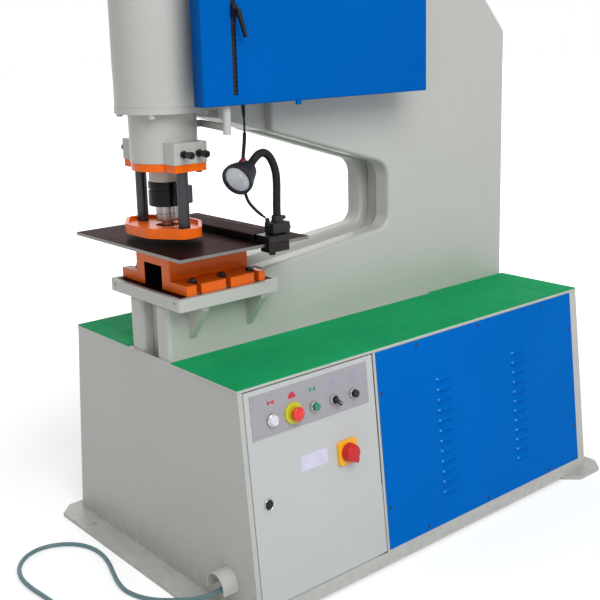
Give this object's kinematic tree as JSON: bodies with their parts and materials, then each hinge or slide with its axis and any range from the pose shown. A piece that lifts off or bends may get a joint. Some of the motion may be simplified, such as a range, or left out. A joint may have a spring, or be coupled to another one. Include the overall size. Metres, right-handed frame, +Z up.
{
  "type": "hydraulic punching machine",
  "caption": "Single-cylinder hydraulic C-frame punching machine on a box base, with work table, stripper, control door, side cover and table lamp.",
  "frame": {"origin": "centre of the machine's footprint on the floor", "axes": "+X from the punch end to the rear end, -Y towards the control door, +Z up"},
  "size_m": [1.9151, 1.052, 1.912],
  "materials": {
    "frame_grey": "satin",
    "door_grey": "satin",
    "panel_grey": "satin",
    "blue_paint": "gloss",
    "orange_paint": "gloss",
    "green_mat": "matte",
    "dark_steel": "oiled",
    "bright_steel": "polished",
    "black_steel": "blackened",
    "black_plastic": "matte",
    "lens_glass": "clear",
    "red_plastic": "gloss",
    "yellow_plastic": "gloss",
    "green_plastic": "gloss",
    "white_plastic": "gloss",
    "cable_jacket": "matte",
    "machine_enamel": "satin",
    "cabinet_white": "matte",
    "shaft_steel": "plain"
  },
  "bodies": {
    "machine": {"foot_plates": "frame_grey", "base_end_plates": "frame_grey", "base_far_side": "frame_grey", "base_near_frame": "frame_grey", "deck_plates": "frame_grey", "deck_mats": "green_mat", "cable_cowl": "frame_grey", "vent_panel": "blue_paint", "vent_screws": "bright_steel", "door_hinge_pins": "bright_steel", "frame_plate_near": "frame_grey", "frame_plate_far": "frame_grey", "frame_core": "frame_grey", "bolster_plate": "frame_grey", "die_holder": "orange_paint", "die_insert": "bright_steel", "cap_screws": "black_steel", "table_plate": "dark_steel", "nose_block": "frame_grey", "guide_head": "frame_grey", "head_plate": "orange_paint", "stripper_posts": "black_steel", "stripper": "orange_paint", "cylinder_cover": "frame_grey", "cylinder_barrel": "frame_grey", "side_cover": "blue_paint", "trip_rail": "black_steel", "lamp_base": "black_plastic", "lamp_neck": "black_plastic", "lamp_head": "black_plastic", "lamp_lens": "lens_glass", "lamp_cable": "black_plastic", "oil_tank": "machine_enamel", "motor": "machine_enamel", "gear_pump": "machine_enamel", "electrical_plate": "cabinet_white", "power_cable": "cable_jacket", "power_cable_coil": "cable_jacket"},
    "door": {"control_door": "door_grey", "control_plate": "panel_grey", "button_bezels": "bright_steel", "estop_collar": "yellow_plastic", "main_switch_plate": "yellow_plastic"},
    "lock": {"door_lock": "bright_steel"},
    "white_push": {"white_button": "white_plastic"},
    "stop_push": {"estop_button": "red_plastic"},
    "green_push": {"green_button": "green_plastic"},
    "selector": {"selector_knob": "black_plastic"},
    "black_push": {"black_button": "black_plastic"},
    "main_switch": {"main_switch_knob": "red_plastic"},
    "gauge": {"back_gauge": "dark_steel"},
    "ram_set": {"ram": "frame_grey", "coupling_nut": "black_steel", "punch": "bright_steel", "stroke_arm": "frame_grey"},
    "stroke_stop": {"stop_block": "black_steel"},
    "stop_handle": {"stop_lever": "black_steel"},
    "foot_knob": {"lamp_knob": "black_plastic"},
    "lamp_rocker": {"lamp_switch": "red_plastic"},
    "pump_shaft": {"pump_coupling": "shaft_steel"}
  },
  "joints": [
    {"name": "door_hinge", "type": "hinge", "parent": "machine", "child": "door", "pos_m": [-0.267, -0.44638, 0.33264], "axis": [0, 0.095, 0.9955], "range_deg": [0, 110]},
    {"name": "door_lock_turn", "type": "hinge", "parent": "door", "child": "lock", "pos_m": [-0.671, -0.45524, 0.33449], "axis": [0, 0.9955, -0.095], "range_deg": [0, 90]},
    {"name": "white_button_push", "type": "slide", "parent": "door", "child": "white_push", "axis": [0, 0.9955, -0.095], "range_m": [0, 0.004], "stiffness_N_per_m": 400},
    {"name": "stop_button_push", "type": "slide", "parent": "door", "child": "stop_push", "axis": [0, 0.9955, -0.095], "range_m": [0, 0.005]},
    {"name": "green_button_push", "type": "slide", "parent": "door", "child": "green_push", "axis": [0, 0.9955, -0.095], "range_m": [0, 0.004], "stiffness_N_per_m": 400},
    {"name": "selector_turn", "type": "hinge", "parent": "door", "child": "selector", "pos_m": [-0.417, -0.43397, 0.55747], "axis": [0, -0.9955, 0.095], "range_deg": [0, 90]},
    {"name": "black_button_push", "type": "slide", "parent": "door", "child": "black_push", "axis": [0, 0.9955, -0.095], "range_m": [0, 0.004], "stiffness_N_per_m": 400},
    {"name": "main_switch_turn", "type": "hinge", "parent": "door", "child": "main_switch", "pos_m": [-0.383, -0.44926, 0.3972], "axis": [0, -0.9955, 0.095], "range_deg": [0, 90]},
    {"name": "gauge_slide", "type": "slide", "parent": "machine", "child": "gauge", "axis": [1, 0, 0], "range_m": [-0.04, 0.085]},
    {"name": "ram_stroke", "type": "slide", "parent": "machine", "child": "ram_set", "axis": [0, 0, -1], "range_m": [0, 0.05]},
    {"name": "stop_height", "type": "slide", "parent": "machine", "child": "stroke_stop", "axis": [0, 0, 1], "range_m": [-0.19, 0.12]},
    {"name": "stop_lever_turn", "type": "hinge", "parent": "stroke_stop", "child": "stop_handle", "pos_m": [-0.577, -0.268, 1.618], "axis": [0, -1, 0], "range_deg": [0, 60]},
    {"name": "foot_knob_turn", "type": "hinge", "parent": "machine", "child": "foot_knob", "pos_m": [-0.42, -0.258, 1.024], "axis": [1, 0, 0], "continuous": true},
    {"name": "lamp_rocker_tip", "type": "hinge", "parent": "machine", "child": "lamp_rocker", "pos_m": [-0.5747, -0.26711, 1.22566], "axis": [0.3861, -0.9224, 0], "range_deg": [-8, 8]},
    {"name": "pump_shaft_turn", "type": "hinge", "parent": "machine", "child": "pump_shaft", "pos_m": [0.26, -0.27, 0.25], "axis": [1, 0, 0], "continuous": true}
  ]
}
